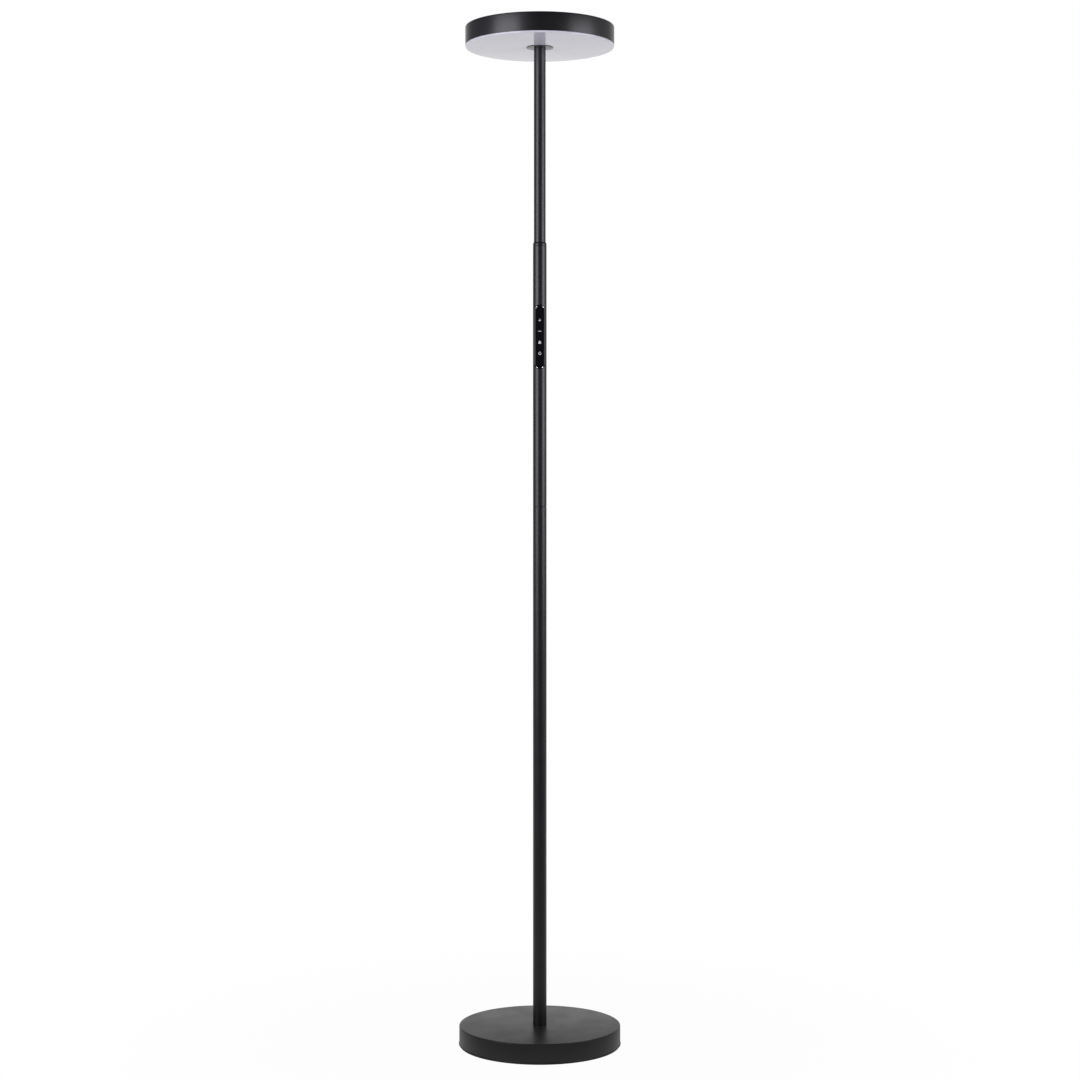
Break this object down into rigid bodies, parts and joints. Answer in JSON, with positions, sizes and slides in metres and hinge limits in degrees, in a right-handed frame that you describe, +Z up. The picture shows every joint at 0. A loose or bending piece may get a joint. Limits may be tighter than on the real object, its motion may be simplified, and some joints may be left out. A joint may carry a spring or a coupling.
{
  "type": "torchiere floor lamp",
  "caption": "Slim torchiere floor lamp: weighted round base, screw-together pole with a touch panel, and a flat round head that lights up and down.",
  "frame": {"origin": "middle of the base on the floor", "axes": "+Z up along the pole, the touch panel faces -Y, the cord inlet faces +Y"},
  "size_m": [0.2626, 0.2626, 1.645],
  "materials": {
    "base_paint": "satin black powder coat with a faint mottle",
    "pole_paint": "smooth satin black paint",
    "ring_paint": "satin black over a spun metal ring with fine turning lines",
    "mount_metal": "satin dark grey",
    "cast_weight": "rough sand-cast iron",
    "bottom_steel": "dull rolled sheet",
    "pad_foam": "matt black closed-cell foam",
    "screw_steel": "zinc plated",
    "thread_steel": "yellowish zinc plated threaded parts",
    "grommet_rubber": "soft black rubber",
    "terminal_plastic": "moulded off-white plastic",
    "terminal_brass": "plain brass",
    "lead_sheath": "soft black PVC sheath",
    "wire_sheath": "red insulation",
    "panel_plastic": "polished black moulding",
    "touch_gloss": "glossy black acrylic",
    "symbol_ink": "pale printed ink",
    "spring_steel": "bright spring wire",
    "board_green": "green solder mask on glass fibre board",
    "chip_black": "black epoxy packages",
    "connector_nylon": "natural nylon",
    "carrier_metal": "plain rolled sheet",
    "light_board_white": "white solder mask on an aluminium board",
    "light_chip": "yellow phosphor in white packages",
    "opal_acrylic": "glossy opal acrylic"
  },
  "bodies": {
    "base": {"base_cover": "base_paint", "base_weight": "cast_weight", "base_plate": "bottom_steel", "base_pad": "pad_foam", "plate_screws": "screw_steel", "pole_stud": "thread_steel", "stud_top_nut": "thread_steel", "stud_washer": "screw_steel", "stud_lock_nut": "thread_steel", "cord_grommet": "grommet_rubber", "terminal_block": "terminal_plastic", "terminal_screws": "terminal_brass", "block_screw": "screw_steel", "pole_lead": "lead_sheath"},
    "lower_section": {"lower_tube": "pole_paint", "lower_foot_bush": "thread_steel", "lower_top_bush": "thread_steel", "lower_nipple": "thread_steel"},
    "middle_section": {"middle_tube": "pole_paint", "middle_foot_bush": "thread_steel", "middle_top_bush": "thread_steel", "middle_nipple": "thread_steel"},
    "control_section": {"control_tube": "pole_paint", "control_foot_bush": "thread_steel", "control_top_bush": "thread_steel", "control_nipple": "thread_steel", "panel_frame": "panel_plastic", "touch_face": "touch_gloss", "key_symbols": "symbol_ink", "touch_springs": "spring_steel", "control_board": "board_green", "touch_chip": "chip_black", "dimmer_transistors": "chip_black", "board_screws": "screw_steel", "board_sockets": "connector_nylon", "lead_plugs": "connector_nylon"},
    "upper_section": {"step_collar": "pole_paint", "upper_tube": "pole_paint", "upper_foot_bush": "thread_steel", "upper_top_bush": "thread_steel", "head_nipple": "thread_steel", "mount_plate": "mount_metal", "lower_diffuser": "opal_acrylic", "head_spacer": "thread_steel", "light_carrier": "carrier_metal", "lower_light_board": "light_board_white", "lower_light_chips": "light_chip", "upper_light_board": "light_board_white", "upper_light_chips": "light_chip", "light_board_screws": "screw_steel", "carrier_screws": "screw_steel", "head_washer": "screw_steel", "head_nut": "thread_steel", "head_lead": "lead_sheath", "head_wires": "wire_sheath", "wire_connectors": "connector_nylon", "head_ring": "ring_paint", "upper_diffuser": "opal_acrylic"}
  },
  "joints": [
    {"name": "base_thread", "type": "hinge", "parent": "base", "child": "lower_section", "pos_m": [0, 0, 0.0325], "axis": [0, 0, 1], "range_deg": [0, 450]},
    {"name": "lower_thread", "type": "hinge", "parent": "lower_section", "child": "middle_section", "pos_m": [0, 0, 0.461], "axis": [0, 0, 1], "range_deg": [0, 450]},
    {"name": "middle_thread", "type": "hinge", "parent": "middle_section", "child": "control_section", "pos_m": [0, 0, 0.8725], "axis": [0, 0, 1], "range_deg": [0, 450]},
    {"name": "collar_thread", "type": "hinge", "parent": "control_section", "child": "upper_section", "pos_m": [0, 0, 1.2925], "axis": [0, 0, 1], "range_deg": [0, 450]}
  ]
}
